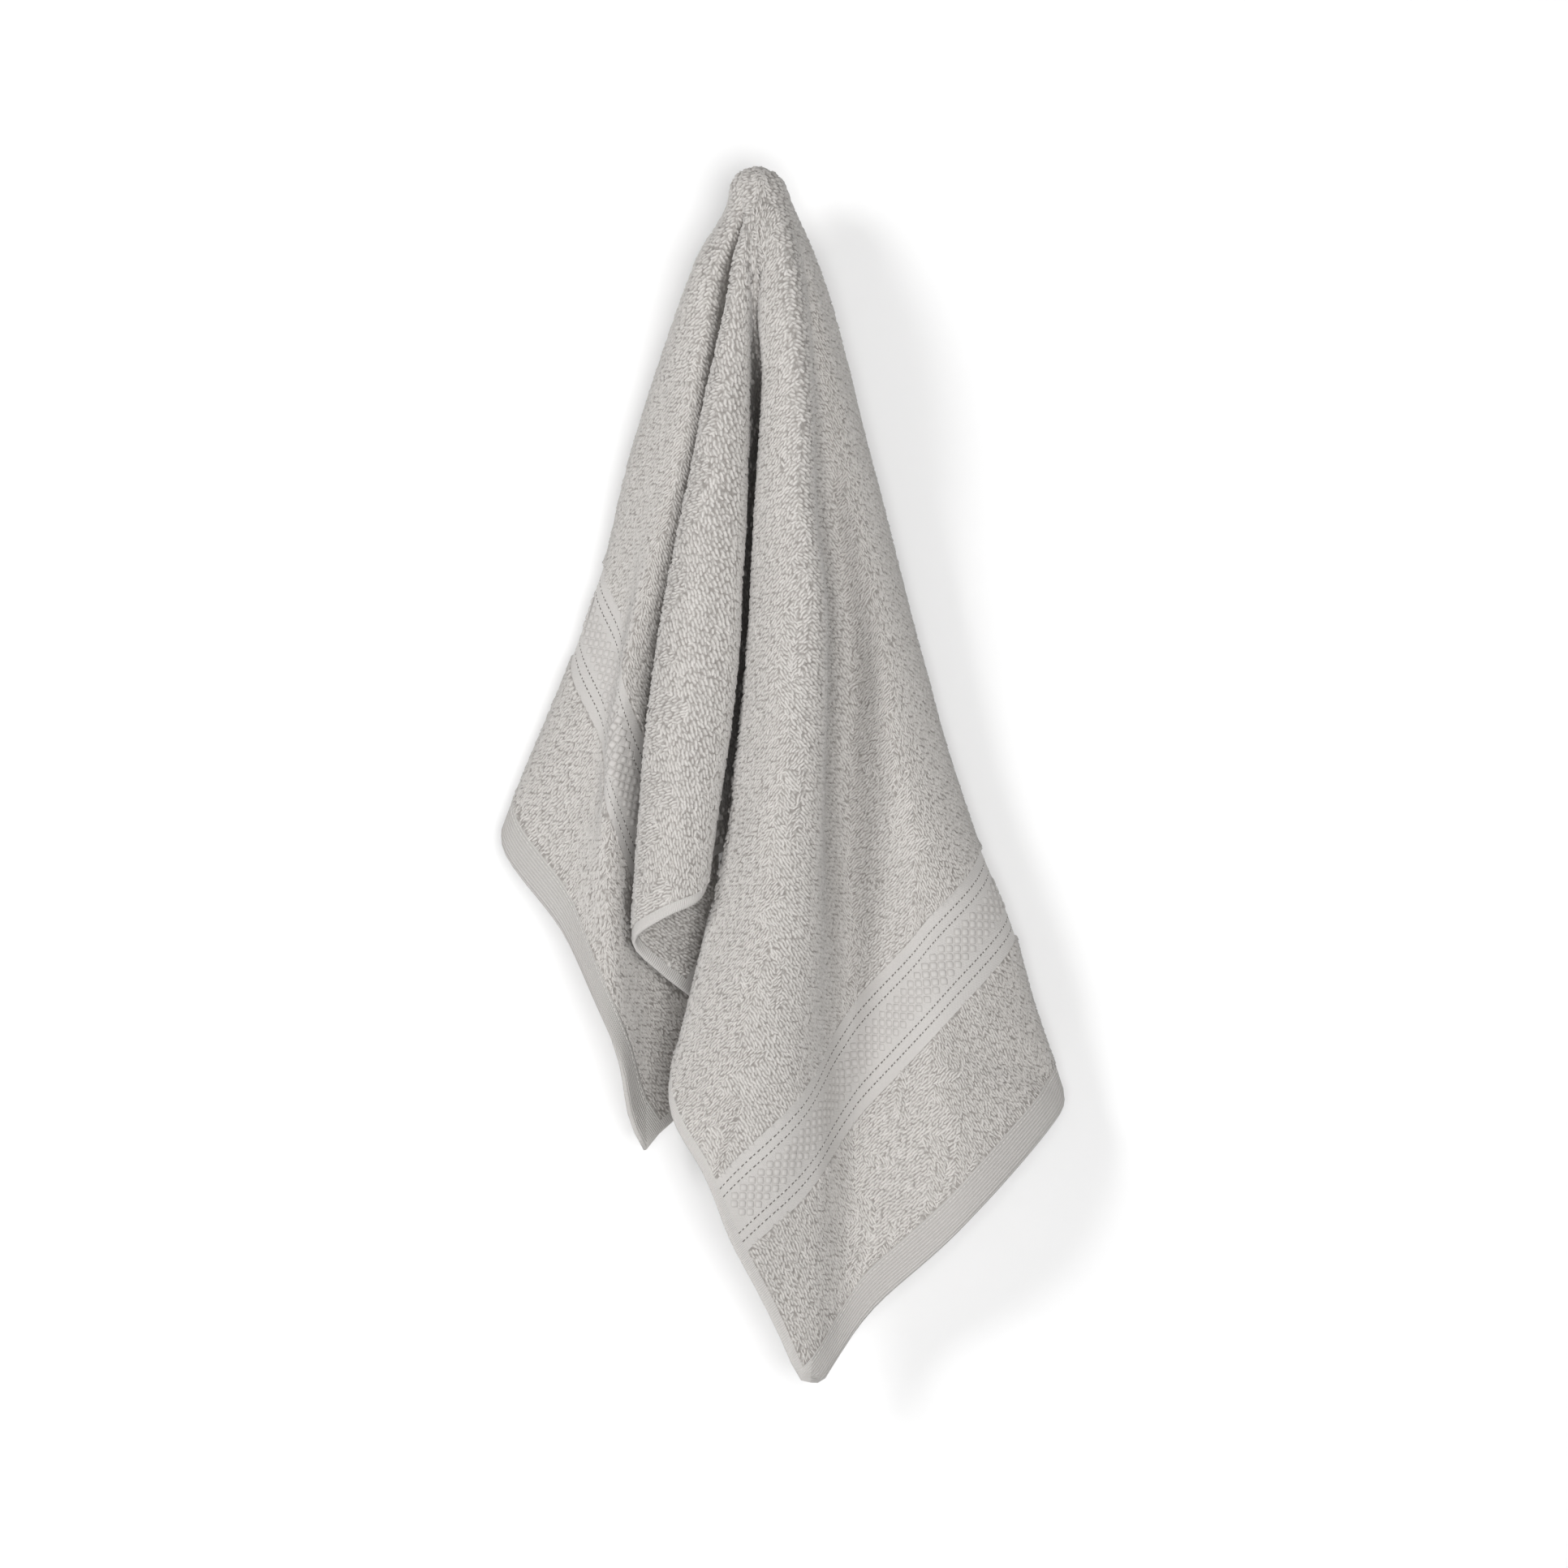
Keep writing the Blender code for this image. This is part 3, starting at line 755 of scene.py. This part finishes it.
def pileSpots(surface, side):
    # loops of one face: rows run across or along the cloth, whichever leads down and off a ridge
    random = np.random.default_rng(pile["seed"] + side)
    parts, flats = [], []
    for chosen, run in enumerate(((1.0, 0.0), (0.0, 1.0))):
        places = pileRows(run, random)
        found = surface.find(places)
        point, steps = surface.at(surface.points, found), surface.at(surface.ways, found)
        normal = side * unit(surface.at(surface.normals, found))
        ways = unit(steps)
        lean = np.stack([pile["patch"] * slowWave(places, pile["patchPitch"], 2.5),
                         -pile["sideways"] * normal[:, 1], -np.ones(len(places))], axis=1)
        lean -= normal * (lean * normal).sum(axis=1, keepdims=True)
        fit = (ways * lean[:, None]).sum(axis=2)
        free = (surface.at(surface.freedom[side], found) - pile["freeFrom"]) / pile["freeOver"]
        spread = (np.linalg.norm(np.cross(steps[:, 0], steps[:, 1]), axis=1)
                  / np.maximum(np.linalg.norm(steps[:, chosen], axis=1), tiny))
        keep = pile["hiddenShare"] + (1 - pile["hiddenShare"]) * smooth(free)
        keep = keep * np.clip(spread / pile["leastSpread"], 0, 1)
        taken = (abs(fit[:, chosen]) >= abs(fit[:, 1 - chosen])) & (random.random(len(places)) < keep)
        lay = ways[:, chosen] * np.sign(fit[:, chosen])[:, None]
        across = np.cross(normal, lay)
        turn, tilt = (random.normal(size=(len(places), 1)) * pile[name] for name in ("turn", "tilt"))
        lay = unit(lay + across * turn)
        size = random.uniform(*pile["sizeSpread"], (len(places), 1)) * np.ones((1, 3))
        size[:, 1] *= np.clip(spread, pile["leastSpread"], pile["mostSpread"])
        size[distanceToWoven(places) < pile["edgeRow"], 2] *= pile["edgeRise"]
        place = point + normal * (cloth["groundThick"] / 2 - pile["sunk"])
        spots = dict(place=place, out=unit(normal - lay * tilt), lay=lay, size=size)
        parts.append(picked(spots, taken))
        flats.append(places[taken])
    return joined(parts), np.concatenate(flats)


def makePile(surface, item, material):
    # loops in a piece for each part of the towel, told apart by direction on the flat cloth
    outside, flat = pileSpots(surface, 1)
    angle = np.degrees(np.arctan2(flat[:, 1], flat[:, 0]))
    back = abs(angle) > pile["backFrom"]
    right, front = angle > pile["wingFrom"], angle > pile["frontFrom"]
    inside, flat = pileSpots(surface, -1)
    onRight = flat[:, 1] > 0
    return [layItems(name, picked(spots, mask), item, material) for name, spots, mask in (
        ("loopsRightWing", outside, right & ~back), ("loopsFront", outside, front & ~right),
        ("loopsLeftWing", outside, ~front & ~back), ("loopsBack", outside, back),
        ("loopsInsideRight", inside, onRight), ("loopsInsideLeft", inside, ~onRight))]


def squareSpots(surface):
    # raised squares in five staggered rows, kept square on the hung cloth, corner to corner
    half = border["square"] / math.sqrt(2)
    size = [border["square"], border["square"], border["squareRise"]]
    parts = []
    for sign in (1, -1):
        level = sum(bandLevels(sign)) / 2
        across = np.arange(*betweenSelvedges(), border["measureStep"])
        ways = surface.at(surface.ways, surface.find(levelLine(across, level)))
        run = np.cumsum(np.linalg.norm(ways[:-1, 0], axis=1) * np.diff(across))
        run = np.concatenate([[0], run])
        marks = np.arange(half, run[-1] - half, half)
        along = levelLine(np.interp(marks, run, across), level)
        ways = surface.at(surface.ways, surface.find(along))
        lead = unit(ways[:, 0])
        slant = (ways[:, 1] * lead).sum(axis=1)
        upright = np.linalg.norm(ways[:, 1] - lead * slant[:, None], axis=1)
        square = np.stack([-slant / np.linalg.norm(ways[:, 0], axis=1), np.ones(len(marks))], axis=1)
        square /= np.maximum(upright, border["leastUpright"])[:, None]
        for row in range(-border["rowsEachSide"], border["rowsEachSide"] + 1):
            here = (np.arange(len(marks)) + row) % 2 == 0
            places = (along + square * row * half)[here]
            parts.append(surface.spots(places, (1, 0), size, cloth["bandThick"]))
    return joined(parts)


def stitchLines():
    # the four stitched lines of a border, from its edge nearest the end
    first = border["edgeToStitch"]
    second = first + border["stitchToStitch"]
    return first, second, cloth["bandWidth"] - second, cloth["bandWidth"] - first


def stitchSpots(surface):
    # stitches along the borders' lines and along the hems, the first a quarter of a pitch in
    parts = []
    size = [border["stitchLength"], border["stitchWidth"], 2 * border["stitchRise"]]
    low, high = betweenSelvedges()
    for sign in (1, -1):
        near, _ = bandLevels(sign)
        end = near + sign * cloth["bandFromEnd"]
        hemLine = end - sign * border["hemStitchFromEnd"]
        lines = [(near - sign * line, border["stitchPitch"], cloth["bandThick"])
                 for line in stitchLines()]
        for level, pitch, thick in lines + [(hemLine, border["hemStitchPitch"], cloth["hemThick"])]:
            places = levelLine(np.arange(low + pitch / 4, high, pitch), level)
            parts.append(surface.spots(places, (1, 0), size, thick))
    return joined(parts)


# finishes
yarn = dict(
    # shade is painted shade, for the pile ground and the feet of loops, squares and hem ribs; dash is
    # painted shade in the stitch holes
    pile=(0.66, 0.637, 0.614), shade=(0.295, 0.277, 0.26), woven=(0.54, 0.521, 0.503),
    dash=(0.16, 0.148, 0.136), thread=(0.62, 0.605, 0.58),
    sheen=0.10, sheenRoughness=0.6, specular=0.15,
    patchScale=22.0, grainScale=900.0, grainTone=0.10,
)
finishes = dict(
    # roughness, yarn, painted shade colour, how patchy the dye is, then the bump's strength and
    # distance
    loopYarn=(0.92, "pile", "shade", 0.06, 0.5, 0.25 * mm),
    pileGround=(0.92, "pile", "shade", 0.06, 0.8, 0.6 * mm),
    borderWeave=(0.85, "woven", "dash", 0.04, 0.7, 0.35 * mm),
    hemWeave=(0.85, "woven", "shade", 0.05, 0.8, 0.35 * mm),
    selvedgeWeave=(0.82, "woven", "shade", 0.05, 0.5, 0.2 * mm),
    raisedWeave=(0.85, "woven", "shade", 0.04, 0.4, 0.2 * mm),
    borderThread=(0.8, "thread", "shade", 0.04, 0.3, 0.15 * mm),
)
relief = dict(
    loopCurve=0.8, loopSpread=0.2,                 # loops get painted shade at the foot, and are not all alike
    # pile ground: grain scale, and how much painted shade it gets, more towards each grain's edge
    groundScale=620.0, groundLight=0.75, groundDark=1.1,
    borderPitch=0.9, borderWeave=0.4,              # pitches in mm; how much of the bump is weave
    # hem: weave and rib pitches, and the painted shade in the grooves between ribs (hemDark, hemLight)
    hemPitchAcross=1.5, hemPitchAlong=0.62, hemWeave=0.4, hemRib=1.3, hemDark=0.58, hemLight=0.42,
    selvedgeRib=0.95,
    squareDark=0.33, squareLight=0.7,              # squares get painted shade at the foot
    loopFibres=1600.0, squareFibres=1400.0, threadFibres=1800.0, threadLight=0.95,
)


def group(name, output, **inputs):
    # a shader group with one output; a tuple is a colour, anything else a number
    made = bpy.data.node_groups.new(name, "ShaderNodeTree")
    for label, value in inputs.items():
        kind = "NodeSocketColor" if isinstance(value, tuple) else "NodeSocketFloat"
        socket = made.interface.new_socket(name=label, in_out="INPUT", socket_type=kind)
        socket.default_value = value
    kind = "NodeSocketColor" if output == "Color" else "NodeSocketFloat"
    made.interface.new_socket(name=output, in_out="OUTPUT", socket_type=kind)
    return made, made.nodes.new("NodeGroupInput"), made.nodes.new("NodeGroupOutput")


def mathNode(tree, operation, *values):
    node = tree.nodes.new("ShaderNodeMath")
    node.operation = operation
    feed(tree, *zip(node.inputs, values))
    return node.outputs[0]


def objectPlaces(tree):
    return tree.nodes.new("ShaderNodeTexCoord").outputs["Object"]


def noiseNode(tree, scale, detail=2.0):
    node = tree.nodes.new("ShaderNodeTexNoise")
    feed(tree, (node.inputs["Scale"], scale), (node.inputs["Detail"], detail),
         (node.inputs["Vector"], objectPlaces(tree)))
    return node.outputs["Fac"]


def makeToneGroup():
    # cotton's uneven colour: broad patches, and grains that take the dye a little differently; Depth
    # mixes from the painted shade in Shade to the yarn's Color
    made, start, finish = group("cottonTone", "Color", Color=(0.6, 0.58, 0.55, 1),
                                Shade=(0.4, 0.38, 0.35, 1), Depth=0.5, Patch=0.05)
    parts = [mathNode(made, "MULTIPLY", mathNode(made, "SUBTRACT", noiseNode(made, scale), 0.5), share)
             for scale, share in ((yarn["patchScale"], start.outputs["Patch"]),
                                  (yarn["grainScale"], yarn["grainTone"]))]
    bright = mathNode(made, "ADD", mathNode(made, "ADD", *parts), 1.0)
    mix = made.nodes.new("ShaderNodeMix")
    mix.data_type = "RGBA"
    scaled = made.nodes.new("ShaderNodeVectorMath")
    scaled.operation = "SCALE"
    _, dark, light = enabled(mix.inputs)
    feed(made, (mix.inputs["Factor"], start.outputs["Depth"]), (dark, start.outputs["Shade"]),
         (light, start.outputs["Color"]), (scaled.inputs[0], enabled(mix.outputs)[0]),
         (scaled.inputs["Scale"], bright), (finish.inputs["Color"], scaled.outputs[0]))
    return made


def makeFibreGroup():
    # height of cotton fibres and twist, to feed a bump
    made, start, finish = group("cottonFibres", "Height", Scale=1500.0)
    feed(made, (finish.inputs["Height"], noiseNode(made, start.outputs["Scale"], detail=3.0)))
    return made


def makeWeaveGroup():
    # height of a plain weave from the cloth's own map: ribs across and along at their own pitches
    made, start, finish = group("plainWeave", "Height", Across=0.0, Along=0.0, PitchAcross=0.7,
                                PitchAlong=0.7)
    waves = []
    for name in ("Across", "Along"):
        turns = mathNode(made, "DIVIDE", start.outputs[name], start.outputs["Pitch" + name])
        waves.append(mathNode(made, "SINE", mathNode(made, "MULTIPLY", turns, 2 * math.pi)))
    both = mathNode(made, "MULTIPLY", *waves)
    feed(made, (finish.inputs["Height"], mathNode(made, "MULTIPLY_ADD", both, 0.5, 0.5)))
    return made


def placed(tree, made, **values):
    # a group in a material, with its own values; its one output
    node = tree.nodes.new("ShaderNodeGroup")
    node.node_tree = made
    feed(tree, *((node.inputs[name], value) for name, value in values.items()))
    return node.outputs[0]


def startMaterial(name, sockets):
    # fixed values go on the shader's own sockets
    material = bpy.data.materials.new(name)
    material.use_nodes = True
    shader = material.node_tree.nodes["Principled BSDF"]
    feed(material.node_tree, *((shader.inputs[name], value) for name, value in sockets.items()))
    return material, material.node_tree, shader


def attributeValue(tree, name):
    node = tree.nodes.new("ShaderNodeAttribute")
    node.attribute_name = name
    return node.outputs["Fac"]


def mapValues(tree, name):
    # the two numbers of one of the cloth's own maps, in millimetres
    node = tree.nodes.new("ShaderNodeUVMap")
    node.uv_map = name
    parts = tree.nodes.new("ShaderNodeSeparateXYZ")
    feed(tree, (parts.inputs[0], node.outputs["UV"]))
    return [mathNode(tree, "MULTIPLY", parts.outputs[k], 1 / mm) for k in (0, 1)]


def ribs(tree, value, pitch):
    return mathNode(tree, "SINE", mathNode(tree, "MULTIPLY", value, 2 * math.pi / pitch))


def stitchHoles(tree, u, fromEnd):
    # stitch holes as dashes of painted shade, long and short by turns, along the four stitched lines of
    # a border
    pitch = border["stitchPitch"] / mm
    shift = mathNode(tree, "SUBTRACT", u, betweenSelvedges()[0] / mm)
    # distance along the line to the nearest long and the nearest short dash, in dash half lengths
    nearest = mathNode(tree, "MINIMUM", *(
        mathNode(tree, "DIVIDE", mathNode(tree, "PINGPONG", way, pitch / 2), border[dash] / mm)
        for way, dash in ((shift, "dashLong"), (mathNode(tree, "ADD", shift, pitch / 2), "dashShort"))))
    total = 0.0
    for line in stitchLines():
        off = mathNode(tree, "SUBTRACT", fromEnd, (cloth["bandFromEnd"] + line) / mm)
        off = mathNode(tree, "DIVIDE", off, border["dashHalfWidth"] / mm)
        far = mathNode(tree, "ADD", *(mathNode(tree, "POWER", value, 2.0) for value in (off, nearest)))
        dot = mathNode(tree, "MULTIPLY", mathNode(tree, "SUBTRACT", 1.0, far), border["dashEdge"])
        total = mathNode(tree, "MAXIMUM", total, dot)
    return mathNode(tree, "MINIMUM", total, 1.0)


# each of these gives how light the yarn is, from painted shade to its own colour, and the height to
# bump
def loopYarn(tree, groups):
    # painted shade: each loop darkens towards its foot by its rise; the tint makes loops differ at
    # random
    top = mathNode(tree, "POWER", attributeValue(tree, "rise"), relief["loopCurve"])
    each = mathNode(tree, "MULTIPLY_ADD", attributeValue(tree, "tint"),
                    relief["loopSpread"], -relief["loopSpread"] / 2)
    return mathNode(tree, "ADD", top, each), placed(tree, groups["fibres"], Scale=relief["loopFibres"])


def pileGround(tree, groups):
    # painted shade on the ground between the loops: darker all over, and darker still towards each
    # grain's edge
    grains = tree.nodes.new("ShaderNodeTexVoronoi")
    feed(tree, (grains.inputs["Scale"], relief["groundScale"]),
         (grains.inputs["Vector"], objectPlaces(tree)))
    dark = mathNode(tree, "MULTIPLY", grains.outputs["Distance"], relief["groundDark"])
    return (mathNode(tree, "SUBTRACT", relief["groundLight"], dark),
            mathNode(tree, "SUBTRACT", 1.0, grains.outputs["Distance"]))


def wovenHeight(tree, groups, pitchAcross, pitchAlong):
    # a plain weave's height, with the two places on the cloth that its finish needs
    (u, v), (_, fromEnd) = mapValues(tree, "flat"), mapValues(tree, "fromEdges")
    height = placed(tree, groups["weave"], Across=u, Along=v, PitchAcross=pitchAcross,
                    PitchAlong=pitchAlong)
    return height, u, fromEnd


def borderWeave(tree, groups):
    height, u, fromEnd = wovenHeight(tree, groups, relief["borderPitch"], relief["borderPitch"])
    # painted shade in the stitch holes: they take the dash colour and dent the bump
    holes = stitchHoles(tree, u, fromEnd)
    low = mathNode(tree, "MULTIPLY", height, relief["borderWeave"])
    return mathNode(tree, "SUBTRACT", 1.0, holes), mathNode(tree, "SUBTRACT", low, holes)


def hemWeave(tree, groups):
    fine, _, fromEnd = wovenHeight(tree, groups, relief["hemPitchAcross"], relief["hemPitchAlong"])
    # painted shade in the grooves between the ribs: the colour darkens where the rib is low
    rib = mathNode(tree, "MULTIPLY_ADD", ribs(tree, fromEnd, relief["hemRib"]), 0.5, 0.5)
    return (mathNode(tree, "MULTIPLY_ADD", rib, relief["hemLight"], relief["hemDark"]),
            mathNode(tree, "MULTIPLY_ADD", fine, relief["hemWeave"], rib))


def selvedgeWeave(tree, groups):
    return 1.0, ribs(tree, mapValues(tree, "flat")[1], relief["selvedgeRib"])


def raisedWeave(tree, groups):
    # painted shade: each square darkens towards its foot by its rise
    light = mathNode(tree, "MULTIPLY_ADD", attributeValue(tree, "rise"),
                     relief["squareLight"], relief["squareDark"])
    return light, placed(tree, groups["fibres"], Scale=relief["squareFibres"])


def borderThread(tree, groups):
    return relief["threadLight"], placed(tree, groups["fibres"], Scale=relief["threadFibres"])


def makeMaterials():
    groups = dict(tone=makeToneGroup(), fibres=makeFibreGroup(), weave=makeWeaveGroup())
    made = {}
    for build in (loopYarn, pileGround, borderWeave, hemWeave, selvedgeWeave, raisedWeave,
                  borderThread):
        roughness, colour, shade, patch, strength, distance = finishes[build.__name__]
        material, tree, shader = startMaterial(build.__name__, {
            "Roughness": roughness, "Metallic": 0.0, "Specular IOR Level": yarn["specular"],
            "Sheen Weight": yarn["sheen"], "Sheen Roughness": yarn["sheenRoughness"]})
        depth, height = build(tree, groups)
        bump = tree.nodes.new("ShaderNodeBump")
        tone = placed(tree, groups["tone"], Color=(*yarn[colour], 1), Shade=(*yarn[shade], 1),
                      Depth=depth, Patch=patch)
        feed(tree, (shader.inputs["Base Color"], tone), (bump.inputs["Strength"], strength),
             (bump.inputs["Distance"], distance), (bump.inputs["Height"], height),
             (shader.inputs["Normal"], bump.outputs["Normal"]))
        made[build.__name__] = material
    return made


# making the towel
print("cloth: folds, hems and borders")
materials = makeMaterials()
midMesh = makeMidSurface()
midFlat = shapeByHand(midMesh)
surface = FlatCloth(midMesh, midFlat)
zoneFinishes = [materials[name] for name in ("pileGround", "borderWeave", "hemWeave", "selvedgeWeave")]
towel = makeCloth(midMesh, midFlat, zoneFinishes)
print("cloth faces", len(towel.data.polygons))

print("pile: loops on both faces")
loopItem = bpy.data.objects.new("loopShape", makeLoopShape())
pieces = makePile(surface, loopItem, materials["loopYarn"])

print("borders: raised squares and stitches")
squareItem = bpy.data.objects.new("squareShape", makeSquareShape())
stitchItem = bpy.data.objects.new("stitchShape", makeStitchShape())
pieces.append(layItems("borderSquares", squareSpots(surface), squareItem, materials["raisedWeave"]))
pieces.append(layItems("borderStitches", stitchSpots(surface), stitchItem, materials["borderThread"]))

for piece in [towel] + pieces:
    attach(piece, "root")
    print(piece.name, sum(len(face.vertices) - 2 for face in piece.data.polygons), "triangles")
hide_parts("towel")

# stage, light and camera
studio = dict(
    photoSize=1932, photoPerMetre=3000.0,          # pixels in the photograph for a metre at the towel
    apexAcross=932, apexDown=211.6,                # the hanging point in the photograph
    distance=3.0, sensor=36.0,
    wallGap=0.004, floorDrop=0.30, wallSize=4.0, wallGlow=0.06, wallTone=0.87, floorTone=0.86,
    lamps=(                                        # name, place, size and power
        ("key", (-1.6, -1.8, 0.55), 0.8, 25.5),
        ("front", (0.35, -2.8, -0.45), 1.6, 58.5),
        ("behind", (-0.6, 1.7, 0.4), 1.2, 8.0)),
    world=0.105,
)


def plainMaterial(name, tone, glow=0.0):
    return startMaterial(name, {"Base Color": (tone, tone, tone, 1), "Roughness": 0.9,
                                "Specular IOR Level": 0.1, "Emission Color": (1, 1, 1, 1),
                                "Emission Strength": glow})


def wallMaterial():
    # a plain wall that is clear when seen from behind
    material, tree, shader = plainMaterial("palePlaster", studio["wallTone"], studio["wallGlow"])
    mix = tree.nodes.new("ShaderNodeMixShader")
    feed(tree, (mix.inputs["Fac"], tree.nodes.new("ShaderNodeNewGeometry").outputs["Backfacing"]),
         (mix.inputs[1], shader.outputs[0]),
         (mix.inputs[2], tree.nodes.new("ShaderNodeBsdfTransparent").outputs[0]),
         (tree.nodes["Material Output"].inputs["Surface"], mix.outputs[0]))
    return material


def makePlane(name, place, upright, material):
    # a wide square, upright and facing the front, or level
    bm = bmesh.new()
    turn = Matrix.Translation(place) @ Matrix.Rotation(math.pi / 2 if upright else 0, 4, "X")
    bmesh.ops.create_grid(bm, x_segments=1, y_segments=1, size=studio["wallSize"] / 2, matrix=turn)
    made = linked(name, meshOf(bm, name))
    made.data.materials.append(material)
    return made


def makeStage():
    back = cadHigh.y + studio["wallGap"]
    floorLevel = cadLow.z - studio["floorDrop"]
    wall = makePlane("wall", (0, back, floorLevel + studio["wallSize"] / 2), True, wallMaterial())
    wall.visible_shadow = False
    makePlane("floor", (0, 0, floorLevel), False, plainMaterial("paleFloor", studio["floorTone"])[0])


def makeLight():
    middle = (cadLow + cadHigh) / 2
    for name, place, size, power in studio["lamps"]:
        lamp = bpy.data.lights.new(name, "AREA")
        lamp.shape = "DISK"
        lamp.size = size
        lamp.energy = power
        made = linked(name, lamp)
        made.location = place
        made.rotation_euler = (middle - Vector(place)).to_track_quat("-Z", "Y").to_euler()
    world = bpy.data.worlds.new("studio")
    world.use_nodes = True
    glow = world.node_tree.nodes["Background"]
    glow.inputs["Color"].default_value = (1, 1, 1, 1)
    glow.inputs["Strength"].default_value = studio["world"]
    bpy.context.scene.world = world


def makeCamera():
    width = studio["photoSize"] / studio["photoPerMetre"]
    across = (studio["photoSize"] / 2 - studio["apexAcross"]) / studio["photoPerMetre"]
    down = (studio["photoSize"] / 2 - studio["apexDown"]) / studio["photoPerMetre"]
    lens = bpy.data.cameras.new("camera")
    lens.sensor_width = studio["sensor"]
    lens.lens = studio["sensor"] * studio["distance"] / width
    lens.clip_end = 20
    camera = linked("camera", lens)
    camera.location = (across, -studio["distance"], -down)
    camera.rotation_euler = (math.pi / 2, 0, 0)
    bpy.context.scene.camera = camera


print("stage, light and camera")
bpy.context.scene.view_settings.view_transform = "Standard"
makeStage()
makeLight()
makeCamera()
